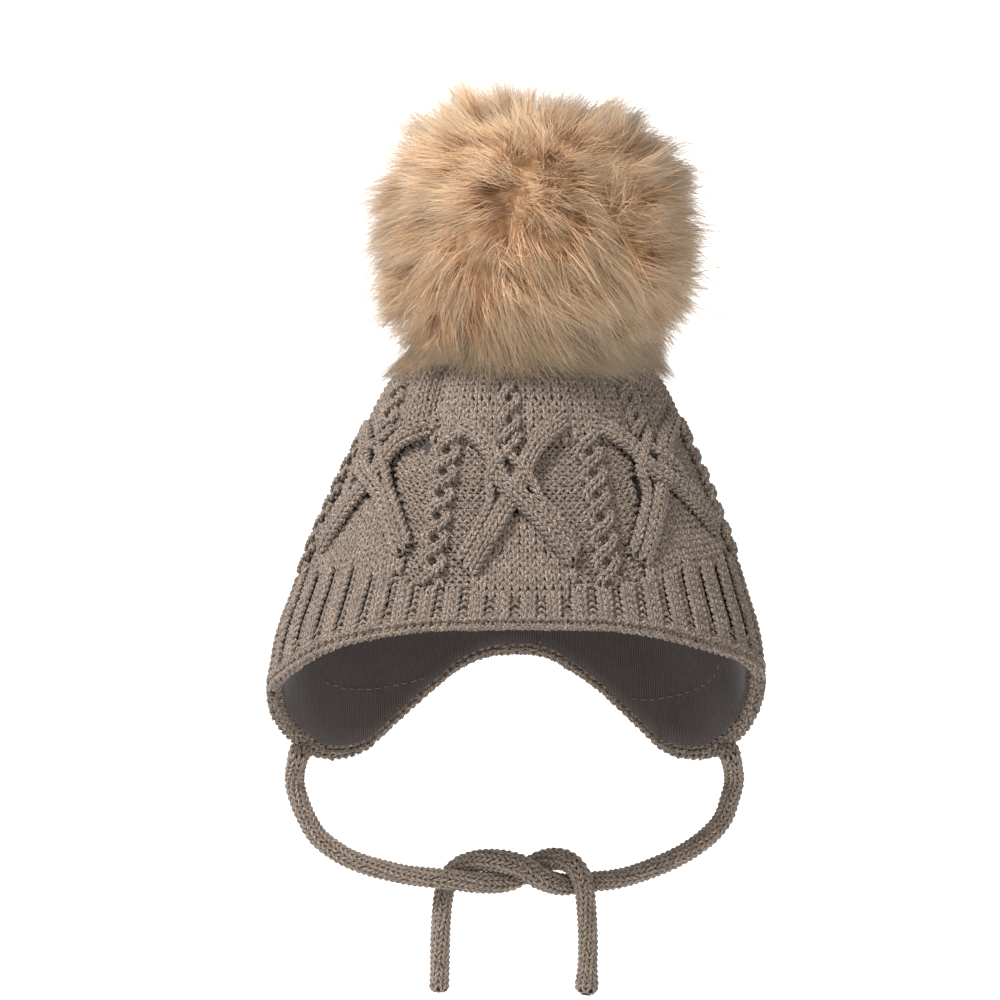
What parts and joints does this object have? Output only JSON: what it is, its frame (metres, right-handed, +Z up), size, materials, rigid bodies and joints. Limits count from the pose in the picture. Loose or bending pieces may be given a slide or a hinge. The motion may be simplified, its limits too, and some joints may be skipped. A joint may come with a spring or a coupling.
{
  "type": "knit hat",
  "caption": "Baby knit hat with a cable-knit crown, ribbed brim, fur pompom, lined ear flaps and knitted ties in a loose half knot",
  "frame": {"origin": "the head seat: the top of the head cavity, inside the lining", "axes": "+Z is up, the front of the hat faces -Y, and +X is to the right as seen from the front"},
  "size_m": [0.1877, 0.1157, 0.3458],
  "materials": {
    "knit": "melange wool knit",
    "jersey": "fine jersey",
    "fur": "long soft fur",
    "tie_yarn": "knitted cord"
  },
  "bodies": {
    "root": {"knit_crown": "knit", "ear_flap_left": "knit", "ear_flap_right": "knit", "lining": "jersey", "pompom": "fur", "tie_left": "tie_yarn", "tie_right": "tie_yarn"}
  },
  "joints": []
}
